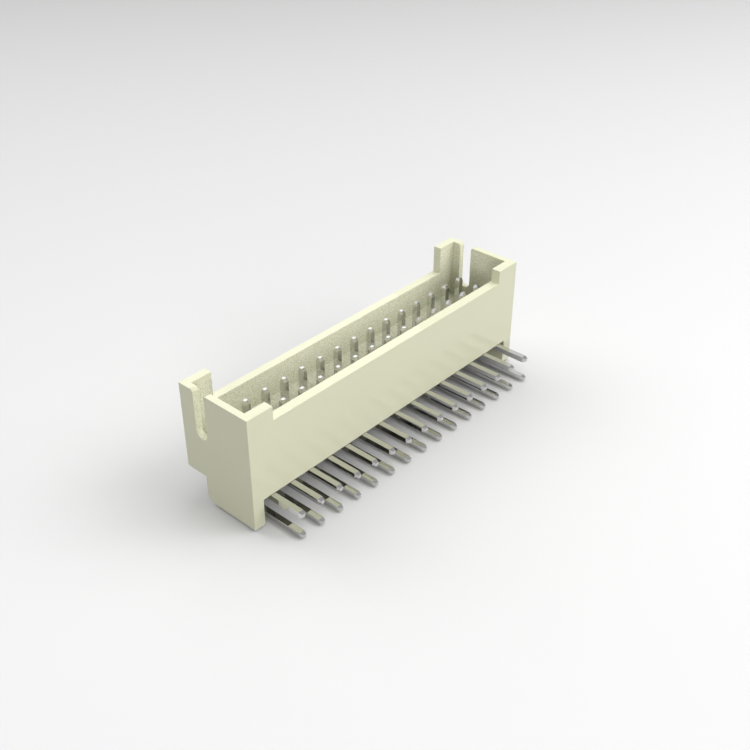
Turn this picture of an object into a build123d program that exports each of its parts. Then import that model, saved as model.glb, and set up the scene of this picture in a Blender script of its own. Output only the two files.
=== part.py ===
import os
from math import atan, degrees

from build123d import *

os.makedirs("parts", exist_ok=True)

# Right-angle shrouded header, millimetres.
# X runs along the rows, Y from the board face to the back, Z up out of the mating cavity.
# It stands on the undersides of the lower solder tails, at Z = 0.

# Contact grid
positions = 15  # contacts in each row
pitch = 2.0  # between neighbours in a row
post_row_gap = 2.0  # between the two rows of posts
tail_row_gap = 2.0  # between the two levels of tails

# Square contact wire
wire = 0.5
point_flat = 0.3  # width left at each pointed end
point_length = 0.3
bend_inner_radius = 0.3
post_height = 2.75  # above the cavity floor
tail_length = 3.2  # beyond the board face

# Housing, outside
end_reach = 2.0  # last contact to the end face
body_depth = 7.35  # board face to back face
housing_height = 10.05  # foot of the legs to the full rim
leg_drop = 2.35  # legs below the skirt
leg_width = 5.25  # along Y, from the board face
leg_thickness = 1.05  # along X
leg_bevel_depth = 0.7  # along Y
leg_bevel_height = 0.4
tail_clearance = 0.01  # upper tails to the skirt edge above them

# Housing, walls and cavity
board_wall = 0.86
back_wall = 0.76
end_wall = 0.6
base_thickness = 1.5  # the slab that grips the contacts
bend_room = 1.0  # height under the base, behind the skirt
board_rim_drop = 1.2  # lowered middle of the board-side wall
back_rim_drop = 2.5  # lowered middle of the back wall
board_corner_length = 2.5  # full-height stretch at each end of the board-side wall
back_corner_length = 2.5  # full-height stretch at each end of the back wall

# Slot in each end wall
slot_width = 1.2
slot_depth = 4.15  # below the full rim
corner_post_depth = 1.53  # from the back face to the slot
slot_floor_radius = 0.5
post_mouth_radius = 0.3  # on the corner post
wall_mouth_radius = 0.25  # on the end wall

# Lead-in round each contact hole, on the underside of the base
funnel_flare = 0.15
funnel_height = 0.2

# Places along X
half_length = (positions - 1) * pitch / 2 + end_reach
cavity_half_length = half_length - end_wall
leg_inner_x = half_length - leg_thickness

# Places along Y, with the whole part centred on Y = 0
board_y = (tail_length - body_depth) / 2
back_y = board_y + body_depth
cavity_front_y = board_y + board_wall
cavity_back_y = back_y - back_wall
cavity_width = cavity_back_y - cavity_front_y
rows_y = (cavity_front_y + cavity_back_y) / 2
tail_tip_y = board_y - tail_length
leg_back_y = board_y + leg_width
slot_back_y = back_y - corner_post_depth
slot_front_y = slot_back_y - slot_width

# Places along Z
lower_tail_z = wire / 2
upper_tail_z = lower_tail_z + tail_row_gap
skirt_z = upper_tail_z + wire / 2 + tail_clearance
leg_z = skirt_z - leg_drop
rim_z = leg_z + housing_height
base_z = skirt_z + bend_room
floor_z = base_z + base_thickness
slot_z = rim_z - slot_depth


def edges_along_x(part, y, z):
    """Edges parallel to X that lie at the given Y and Z."""
    near = 0.001
    along = part.edges().filter_by(Axis.X)
    level = along.filter_by_position(Axis.Z, z - near, z + near)
    return level.filter_by_position(Axis.Y, y - near, y + near)


# Housing: the end view drawn once and extruded over the whole length
with BuildPart() as housing:
    with BuildSketch(Plane.YZ):
        with BuildLine():
            Polyline(
                (board_y, leg_z),
                (leg_back_y - leg_bevel_depth, leg_z),
                (leg_back_y, leg_z + leg_bevel_height),
                (leg_back_y, skirt_z),
                (back_y, skirt_z),
                (back_y, rim_z),
                (board_y, rim_z),
                close=True,
            )
        make_face()
    extrude(amount=half_length, both=True)

    # Open space under the base, between the legs and behind the skirt
    with BuildSketch(Plane.YZ):
        with BuildLine():
            Polyline(
                (board_y, leg_z),
                (leg_back_y, leg_z),
                (leg_back_y, skirt_z),
                (cavity_back_y, skirt_z),
                (cavity_back_y, base_z),
                (cavity_front_y, base_z),
                (cavity_front_y, skirt_z),
                (board_y, skirt_z),
                close=True,
            )
        make_face()
    extrude(amount=leg_inner_x, both=True, mode=Mode.SUBTRACT)

    # Mating cavity
    with BuildSketch(Plane.XY.offset(floor_z)):
        with Locations((0, rows_y)):
            Rectangle(2 * cavity_half_length, cavity_width)
    extrude(amount=rim_z - floor_z, mode=Mode.SUBTRACT)

    # Lowered middles of the two long walls
    with BuildSketch(Plane.XZ.offset(-cavity_front_y)):
        with Locations((0, rim_z)):
            Rectangle(2 * (half_length - board_corner_length), 2 * board_rim_drop)
    extrude(amount=board_wall, mode=Mode.SUBTRACT)
    with BuildSketch(Plane.XZ.offset(-back_y)):
        with Locations((0, rim_z)):
            Rectangle(2 * (half_length - back_corner_length), 2 * back_rim_drop)
    extrude(amount=back_wall, mode=Mode.SUBTRACT)

    # One slot through each end wall
    for side in (-1, 1):
        with BuildSketch(Plane.YZ.offset(side * half_length)):
            with Locations(((slot_front_y + slot_back_y) / 2, rim_z)):
                Rectangle(slot_width, 2 * slot_depth)
        extrude(amount=-side * end_wall, mode=Mode.SUBTRACT)
    fillet(
        edges_along_x(housing, slot_front_y, slot_z) + edges_along_x(housing, slot_back_y, slot_z),
        radius=slot_floor_radius,
    )
    fillet(edges_along_x(housing, slot_back_y, rim_z), radius=post_mouth_radius)
    fillet(edges_along_x(housing, slot_front_y, rim_z), radius=wall_mouth_radius)

    # Square holes that grip the contacts, each with a lead-in from below
    with BuildSketch(Plane.XY.offset(base_z)):
        with Locations((0, rows_y)):
            with GridLocations(pitch, post_row_gap, positions, 2):
                Rectangle(wire, wire)
    extrude(amount=base_thickness, mode=Mode.SUBTRACT)
    with BuildSketch(Plane.XY.offset(base_z)):
        with Locations((0, rows_y)):
            with GridLocations(pitch, post_row_gap, positions, 2):
                Rectangle(wire + 2 * funnel_flare, wire + 2 * funnel_flare)
    extrude(
        amount=funnel_height,
        taper=degrees(atan(funnel_flare / funnel_height)),
        mode=Mode.SUBTRACT,
    )

housing.part.label = "housing"
export_step(housing.part, "parts/housing.step")


def make_contact(x, post_y, tail_z):
    """One contact: post, bend and tail swept as square wire, with both ends pointed."""
    shoulder_z = floor_z + post_height - point_length
    shoulder_y = tail_tip_y + point_length
    point_taper = degrees(atan((wire - point_flat) / 2 / point_length))
    with BuildPart() as contact:
        with BuildLine(Plane.YZ.offset(x)) as route:
            FilletPolyline(
                (post_y, shoulder_z),
                (post_y, tail_z),
                (shoulder_y, tail_z),
                radius=bend_inner_radius + wire / 2,
            )
        with BuildSketch(Plane.XY.offset(shoulder_z)):
            with Locations((x, post_y)):
                Rectangle(wire, wire)
        sweep(path=route.wire())
        with BuildSketch(Plane.XY.offset(shoulder_z)):
            with Locations((x, post_y)):
                Rectangle(wire, wire)
        extrude(amount=point_length, taper=point_taper)
        with BuildSketch(Plane.XZ.offset(-shoulder_y)):
            with Locations((x, tail_z)):
                Rectangle(wire, wire)
        extrude(amount=point_length, taper=point_taper)
    return contact


# Two rows of contacts: the board row has the upper tails, the back row the lower ones
rows = {
    "board": (rows_y - post_row_gap / 2, upper_tail_z),
    "back": (rows_y + post_row_gap / 2, lower_tail_z),
}
for row, (post_y, tail_z) in rows.items():
    for index in range(positions):
        x = (index - (positions - 1) / 2) * pitch
        contact = make_contact(x, post_y, tail_z)
        name = f"contact_{row}_{index + 1:02d}"
        contact.part.label = name
        export_step(contact.part, f"parts/{name}.step")
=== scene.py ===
import math

import bpy
import numpy as np
from mathutils import Euler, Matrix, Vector

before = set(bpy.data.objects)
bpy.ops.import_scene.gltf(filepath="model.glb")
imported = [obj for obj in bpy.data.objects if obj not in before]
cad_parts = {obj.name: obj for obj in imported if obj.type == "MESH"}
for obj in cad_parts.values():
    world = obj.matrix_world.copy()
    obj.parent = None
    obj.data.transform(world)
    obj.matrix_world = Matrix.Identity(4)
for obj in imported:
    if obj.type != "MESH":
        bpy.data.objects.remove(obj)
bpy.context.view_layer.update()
mm = 0.001  # sizes below are in millimetres, and this turns them to metres
print("frame loaded,", len(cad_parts), "nodes")


# Shared helpers

mixA, mixB, mixed = 6, 7, 2  # a Mix node's inputs and output when it mixes colours
noiseSpan = (0.3, 0.7)  # a noise texture's levels mostly lie between these


def linearColour(hexCode):
    # sRGB hex to linear RGBA, with the standard sRGB curve
    srgb = np.array([int(hexCode[i:i + 2], 16) for i in (1, 3, 5)]) / 255
    linear = np.where(srgb <= 0.04045, srgb / 12.92, ((srgb + 0.055) / 1.055) ** 2.4)
    return (*linear.tolist(), 1.0)


def addNode(tree, kind, settings=(), links=()):
    # settings: pairs of a property or input and its value
    # links: pairs of an input and the socket that feeds it
    node = tree.nodes.new(kind)
    for key, value in settings:
        if isinstance(key, str) and hasattr(node, key):
            setattr(node, key, value)
        else:
            node.inputs[key].default_value = value
    for key, source in links:
        tree.links.new(source, node.inputs[key])
    return node


def newMaterial(name):
    material = bpy.data.materials.new(name)
    material.use_nodes = True
    tree = material.node_tree
    tree.nodes.clear()
    output = tree.nodes.new("ShaderNodeOutputMaterial")
    return material, tree, output


def perMetre(sizeInMm):
    # a noise texture's scale for features about this wide
    return 1 / (sizeInMm * mm)


# Housing: natural PBT, injection moulded. A dense, faintly yellow ivory. The outside comes glossy
# from a polished mould. The cavity keeps the fine matt grain of a spark-eroded core, and the
# faces of the end slots a fainter one.
housingLook = {
    "colour": "#D4D4B9",
    "shade": "#D1D1B5",
    "flow": 5.0,  # mm, slow drift of tone along the mould flow
    "roughness": (0.01, 0.03),
    "ior": 1.55,
    "innerColour": "#E7E7D6",
    "innerShade": "#BABA9D",
    "innerRoughness": (0.32, 0.45),
    "grain": 0.09,  # mm, coarser than the real grain, so that it shows in the render
    "grainDepth": 0.003,  # mm
    "grainSpan": (0.38, 0.62),  # noise levels at which the two inner tones are reached
    "innerHalfX": 15.96,  # mm, the grained space: half its length, its Y and Z limits
    "innerY": (-1.215, 4.515),
    "innerZ": (5.01, 9.9),
    "innerFade": (0.01, 0.03),  # mm beyond those limits, where the grain fades out
    "slotX": 15.42,  # mm, the end slots' faces lie beyond it
    "slotFade": 0.01,  # mm, how short of it the grain starts to weaken
    "slotGrain": 0.45,  # part of the grain that those faces show
    "edge": 0.04,  # mm, radius of the moulded edges
}


def insideCavity(tree, here, look):
    # 1 on the faces that bound the cavity, slotGrain on the slots' faces, 0 on the outside
    def reach(axis, low, high):
        # half the span less the distance from its middle: negative outside low and high
        away = addNode(tree, "ShaderNodeMath",
                       [("operation", "SUBTRACT"), (1, (low + high) / 2 * mm)], [(0, axis)])
        size = addNode(tree, "ShaderNodeMath", [("operation", "ABSOLUTE")],
                       [(0, away.outputs["Value"])])
        left = addNode(tree, "ShaderNodeMath",
                       [("operation", "SUBTRACT"), (0, (high - low) / 2 * mm)],
                       [(1, size.outputs["Value"])])
        return left.outputs["Value"]

    halfX = look["innerHalfX"]
    nearest, furthest = look["innerFade"]
    slotReach = halfX - look["slotX"]
    axes = addNode(tree, "ShaderNodeSeparateXYZ", [], [("Vector", here)])
    depths = [reach(axes.outputs["X"], -halfX, halfX),
              reach(axes.outputs["Y"], *look["innerY"]), reach(axes.outputs["Z"], *look["innerZ"])]
    plan = addNode(tree, "ShaderNodeMath", [("operation", "MINIMUM")],
                   [(0, depths[0]), (1, depths[1])])
    least = addNode(tree, "ShaderNodeMath", [("operation", "MINIMUM")],
                    [(0, plan.outputs["Value"]), (1, depths[2])])
    mask = addNode(tree, "ShaderNodeMapRange",
                   [("From Min", -furthest * mm), ("From Max", -nearest * mm)],
                   [("Value", least.outputs["Value"])])
    slots = addNode(tree, "ShaderNodeMapRange",
                    [("From Min", slotReach * mm), ("From Max", (slotReach + look["slotFade"]) * mm),
                     ("To Min", look["slotGrain"])], [("Value", depths[0])])
    grained = addNode(tree, "ShaderNodeMath", [("operation", "MULTIPLY")],
                      [(0, mask.outputs["Result"]), (1, slots.outputs["Result"])])
    return grained.outputs["Value"]


def mouldedPbt(look):
    material, tree, output = newMaterial("natural moulded PBT")
    place = addNode(tree, "ShaderNodeTexCoord")
    here = place.outputs["Object"]
    inside = insideCavity(tree, here, look)
    flow = addNode(tree, "ShaderNodeTexNoise",
                   [("Scale", perMetre(look["flow"])), ("Detail", 1.0)], [("Vector", here)])
    grain = addNode(tree, "ShaderNodeTexNoise",
                    [("Scale", perMetre(look["grain"])), ("Detail", 2.0), ("Roughness", 0.6)],
                    [("Vector", here)])
    spread = addNode(tree, "ShaderNodeMapRange",
                     [("From Min", look["grainSpan"][0]), ("From Max", look["grainSpan"][1])],
                     [("Value", grain.outputs["Fac"])])
    polished = addNode(tree, "ShaderNodeMix",
                       [("data_type", "RGBA"), (mixA, linearColour(look["colour"])),
                        (mixB, linearColour(look["shade"]))], [("Factor", flow.outputs["Fac"])])
    eroded = addNode(tree, "ShaderNodeMix",
                     [("data_type", "RGBA"), (mixA, linearColour(look["innerColour"])),
                      (mixB, linearColour(look["innerShade"]))],
                     [("Factor", spread.outputs["Result"])])
    colour = addNode(tree, "ShaderNodeMix", [("data_type", "RGBA")],
                     [("Factor", inside), (mixA, polished.outputs[mixed]),
                      (mixB, eroded.outputs[mixed])])
    gloss = [addNode(tree, "ShaderNodeMapRange",
                     [("From Min", noiseSpan[0]), ("From Max", noiseSpan[1]),
                      ("To Min", low), ("To Max", high)], [("Value", noise.outputs["Fac"])])
             for (low, high), noise in ((look["roughness"], flow), (look["innerRoughness"], grain))]
    sheen = addNode(tree, "ShaderNodeMix", [("data_type", "FLOAT")],
                    [("Factor", inside), ("A", gloss[0].outputs["Result"]),
                     ("B", gloss[1].outputs["Result"])])
    relief = addNode(tree, "ShaderNodeMath", [("operation", "MULTIPLY")],
                     [(0, grain.outputs["Fac"]), (1, inside)])
    bump = addNode(tree, "ShaderNodeBump", [("Distance", look["grainDepth"] * mm)],
                   [("Height", relief.outputs["Value"])])
    shader = addNode(tree, "ShaderNodeBsdfPrincipled", [("IOR", look["ior"])],
                     [("Base Color", colour.outputs[mixed]), ("Roughness", sheen.outputs["Result"]),
                      ("Normal", bump.outputs["Normal"])])
    tree.links.new(shader.outputs["BSDF"], output.inputs["Surface"])
    return material


# Contacts: drawn brass wire, bright tin plated. Tin is a pale neutral metal with a soft mirror
# finish, and faint lines along the wire are left from drawing.
contactLook = {
    "colour": "#DCDCDB",
    "shade": "#D3D3D2",
    "line": 0.04,  # mm across the wire, coarser than the real lines, so that they show
    "lineLength": 1.2,  # mm along it
    "lineDepth": 0.0006,  # mm
    "roughness": (0.02, 0.05),
    "edge": 0.02,  # mm, radius of the wire's edges
}


def tinPlate(look):
    material, tree, output = newMaterial("bright tin plate")
    place = addNode(tree, "ShaderNodeTexCoord")
    stretch = look["line"] / look["lineLength"]
    along = addNode(tree, "ShaderNodeMapping", [("Scale", (1.0, stretch, stretch))],
                    [("Vector", place.outputs["Object"])])
    lines = addNode(tree, "ShaderNodeTexNoise",
                    [("Scale", perMetre(look["line"])), ("Detail", 2.0)],
                    [("Vector", along.outputs["Vector"])])
    colour = addNode(tree, "ShaderNodeMix",
                     [("data_type", "RGBA"), (mixA, linearColour(look["colour"])),
                      (mixB, linearColour(look["shade"]))], [("Factor", lines.outputs["Fac"])])
    low, high = look["roughness"]
    polish = addNode(tree, "ShaderNodeMapRange",
                     [("From Min", noiseSpan[0]), ("From Max", noiseSpan[1]),
                      ("To Min", low), ("To Max", high)], [("Value", lines.outputs["Fac"])])
    bump = addNode(tree, "ShaderNodeBump", [("Distance", look["lineDepth"] * mm)],
                   [("Height", lines.outputs["Fac"])])
    shader = addNode(tree, "ShaderNodeBsdfPrincipled", [("Metallic", 1.0)],
                     [("Base Color", colour.outputs[mixed]), ("Roughness", polish.outputs["Result"]),
                      ("Normal", bump.outputs["Normal"])])
    tree.links.new(shader.outputs["BSDF"], output.inputs["Surface"])
    return material


edgeLook = {
    "weld": 0.0005,  # mm, points nearer than this are one
    "flat": 1.0,  # degrees, faces that meet at less than this are one flat face
    "sharp": 14.0,  # degrees, edges that turn by more than this are rounded
    "segments": 2,
}


def softenEdges(piece, radius, look):
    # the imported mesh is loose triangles: weld them, make flat faces whole, round the edges left
    weld = piece.modifiers.new("weld", "WELD")
    weld.merge_threshold = look["weld"] * mm
    flat = piece.modifiers.new("flat", "DECIMATE")
    flat.decimate_type = "DISSOLVE"
    flat.angle_limit = math.radians(look["flat"])
    bevel = piece.modifiers.new("bevel", "BEVEL")
    bevel.width = radius * mm
    bevel.segments = look["segments"]
    bevel.limit_method = "ANGLE"
    bevel.angle_limit = math.radians(look["sharp"])
    bevel.harden_normals = True


def dress(piece, material):
    for slot in piece.material_slots:
        slot.material = material


pbt = mouldedPbt(housingLook)
tin = tinPlate(contactLook)
for name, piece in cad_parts.items():
    look, material = (housingLook, pbt) if name == "housing" else (contactLook, tin)
    dress(piece, material)
    softenEdges(piece, look["edge"], edgeLook)
print("housing and contacts finished")


# Floor and sky: a pale paper sweep in a pale room. The floor's colour carries painted shade: it
# darkens away from the camera, in place of light that falls off with distance.
stageLook = {
    # the near and far colours are painted shade: the floor's colour darkens away from the camera,
    # standing in for light falling off
    "nearColour": "#D4D4D4",
    "farPaintedShadeColour": "#AAAAAA",
    "bounceColour": "#808080",  # the same paper for the light that it throws back on the object
    "fadeAlong": (0.54, 0.84, 0.0),  # the way over the floor in which it darkens
    "fadeFrom": -10.0,  # mm that way, from the object's middle
    "fadeTo": 153.0,
    "floorSize": 3000.0,  # mm
    "skyColour": "#FFFFFF",
    "skyStrength": 0.39,  # light on the object
    "skySeen": 0.43,  # what shows in the gloss and in the metal, from above
    "horizonSeen": 0.90,  # the same along the horizon, and for the far floor
    "skyFade": 0.5,  # sine of the elevation at which the horizon's tone has faded out
    "farFrom": 240.0,  # mm from the object, where the floor starts to fade into the horizon
    "farTo": 480.0,
}


def seenByEye(tree):
    # 1 for what the camera sees, straight or mirrored in metal and gloss,
    # 0 for light thrown on a surface
    rays = addNode(tree, "ShaderNodeLightPath")
    mirrored = addNode(tree, "ShaderNodeMath", [("operation", "MAXIMUM")],
                       [(0, rays.outputs["Is Glossy Ray"]),
                        (1, rays.outputs["Is Transmission Ray"])])
    seen = addNode(tree, "ShaderNodeMath", [("operation", "MAXIMUM")],
                   [(0, rays.outputs["Is Camera Ray"]), (1, mirrored.outputs["Value"])])
    return seen.outputs["Value"]


def makeFloor(look):
    half = look["floorSize"] * mm / 2
    mesh = bpy.data.meshes.new("floor")
    mesh.from_pydata([(-half, -half, 0), (half, -half, 0), (half, half, 0), (-half, half, 0)],
                     [], [(0, 1, 2, 3)])
    floor = bpy.data.objects.new("floor", mesh)
    bpy.context.scene.collection.objects.link(floor)
    material, tree, output = newMaterial("matt paper sweep")
    place = addNode(tree, "ShaderNodeTexCoord")
    seen = seenByEye(tree)
    along = addNode(tree, "ShaderNodeVectorMath",
                    [("operation", "DOT_PRODUCT"), (1, look["fadeAlong"])],
                    [(0, place.outputs["Object"])])
    # painted shade: the floor's colour goes from the near to the far colour away from the camera, in
    # place of light that falls off with distance
    fade = addNode(tree, "ShaderNodeMapRange",
                   [("From Min", look["fadeFrom"] * mm), ("From Max", look["fadeTo"] * mm)],
                   [("Value", along.outputs["Value"])])
    paper = addNode(tree, "ShaderNodeMix",
                    [("data_type", "RGBA"), (mixA, linearColour(look["nearColour"])),
                     (mixB, linearColour(look["farPaintedShadeColour"]))], [("Factor", fade.outputs["Result"])])
    colour = addNode(tree, "ShaderNodeMix",
                     [("data_type", "RGBA"), (mixA, linearColour(look["bounceColour"]))],
                     [("Factor", seen), (mixB, paper.outputs[mixed])])
    shader = addNode(tree, "ShaderNodeBsdfPrincipled",
                     [("Roughness", 0.9), ("Specular IOR Level", 0.0)],
                     [("Base Color", colour.outputs[mixed])])
    away = addNode(tree, "ShaderNodeVectorMath", [("operation", "LENGTH")],
                   [(0, place.outputs["Object"])])
    far = addNode(tree, "ShaderNodeMapRange",
                  [("From Min", look["farFrom"] * mm), ("From Max", look["farTo"] * mm)],
                  [("Value", away.outputs["Value"])])
    haze = addNode(tree, "ShaderNodeMath", [("operation", "MULTIPLY")],
                   [(0, far.outputs["Result"]), (1, seen)])
    horizon = addNode(tree, "ShaderNodeEmission", [("Strength", look["horizonSeen"])])
    blend = addNode(tree, "ShaderNodeMixShader", [],
                    [(0, haze.outputs["Value"]), (1, shader.outputs["BSDF"]),
                     (2, horizon.outputs["Emission"])])
    tree.links.new(blend.outputs["Shader"], output.inputs["Surface"])
    mesh.materials.append(material)


def makeSky(look):
    world = bpy.data.worlds.new("pale room")
    world.use_nodes = True
    tree = world.node_tree
    tree.nodes.clear()
    towards = addNode(tree, "ShaderNodeTexCoord")
    height = addNode(tree, "ShaderNodeSeparateXYZ", [], [("Vector", towards.outputs["Generated"])])
    shown = addNode(tree, "ShaderNodeMapRange",
                    [("From Max", look["skyFade"]), ("To Min", look["horizonSeen"]),
                     ("To Max", look["skySeen"])], [("Value", height.outputs["Z"])])
    strength = addNode(tree, "ShaderNodeMapRange", [("To Min", look["skyStrength"])],
                       [("Value", seenByEye(tree)), ("To Max", shown.outputs["Result"])])
    sky = addNode(tree, "ShaderNodeBackground", [("Color", linearColour(look["skyColour"]))],
                  [("Strength", strength.outputs["Result"])])
    addNode(tree, "ShaderNodeOutputWorld", [], [("Surface", sky.outputs["Background"])])
    bpy.context.scene.world = world


# Lamps: azimuth in degrees from straight in front (-Y) towards +X, elevation in degrees,
# distance and size in mm, power in W. The gloss and the metal show those that are mirrored.
lampLook = {
    "key": {"azimuth": 30, "elevation": 40, "distance": 350, "size": 280, "power": 0.66,
            "mirrored": False},
    "side": {"azimuth": 60, "elevation": 40, "distance": 350, "size": 280, "power": 0.48,
             "mirrored": False},
    "lowLeft": {"azimuth": -46, "elevation": 12, "distance": 350, "size": 140, "power": 0.40,
                "mirrored": False},
    "rearRight": {"azimuth": 120, "elevation": 60, "distance": 350, "size": 280, "power": 0.30,
                  "mirrored": False},
    "rear": {"azimuth": 190, "elevation": 35, "distance": 350, "size": 280, "power": 0.62,
             "mirrored": True},
    "glint": {"azimuth": 145, "elevation": 35, "distance": 350, "size": 280, "power": 0.072,
              "mirrored": True},
    "glintCore": {"azimuth": 145, "elevation": 38, "distance": 340, "size": 180, "power": 0.054,
                  "mirrored": True},
}


def directionFrom(azimuth, elevation):
    around, up = math.radians(azimuth), math.radians(elevation)
    return Vector((math.sin(around) * math.cos(up), -math.cos(around) * math.cos(up), math.sin(up)))


def makeLamp(name, look):
    lamp = bpy.data.lights.new(name, "AREA")
    lamp.shape = "DISK"
    lamp.size = look["size"] * mm
    lamp.energy = look["power"]
    holder = bpy.data.objects.new(name, lamp)
    towards = directionFrom(look["azimuth"], look["elevation"])
    holder.location = towards * look["distance"] * mm
    holder.rotation_euler = towards.to_track_quat("Z", "Y").to_euler()
    holder.visible_glossy = look["mirrored"]
    bpy.context.scene.collection.objects.link(holder)


makeFloor(stageLook)
makeSky(stageLook)
for name, look in lampLook.items():
    makeLamp(name, look)
print("floor, sky and", len(lampLook), "lamps made")


# Camera, from a fit to the housing's edges and the tips of the contacts
cameraLook = {
    "azimuth": -48.174,  # degrees from straight in front (-Y) towards +X
    "elevation": 33.658,  # degrees above the floor
    "roll": 0.053,  # degrees
    "distance": 80.874,  # mm
    "target": (-3.074, -2.410, 7.835),  # mm
    "focalPixels": 1040.66,
    "framePixels": 750,
    "sensor": 36,  # mm
    "clip": (1, 10000),  # mm
}


def makeCamera(look):
    back = directionFrom(look["azimuth"], look["elevation"])
    data = bpy.data.cameras.new("camera")
    data.sensor_width = look["sensor"]
    data.lens = look["sensor"] * look["focalPixels"] / look["framePixels"]
    data.clip_start, data.clip_end = [limit * mm for limit in look["clip"]]
    camera = bpy.data.objects.new("camera", data)
    camera.location = (Vector(look["target"]) + back * look["distance"]) * mm
    turn = back.to_track_quat("Z", "Y") @ Euler((0, 0, math.radians(look["roll"]))).to_quaternion()
    camera.rotation_euler = turn.to_euler()
    bpy.context.scene.collection.objects.link(camera)
    bpy.context.scene.camera = camera


makeCamera(cameraLook)
bpy.context.scene.view_settings.view_transform = "Standard"
print("camera placed")
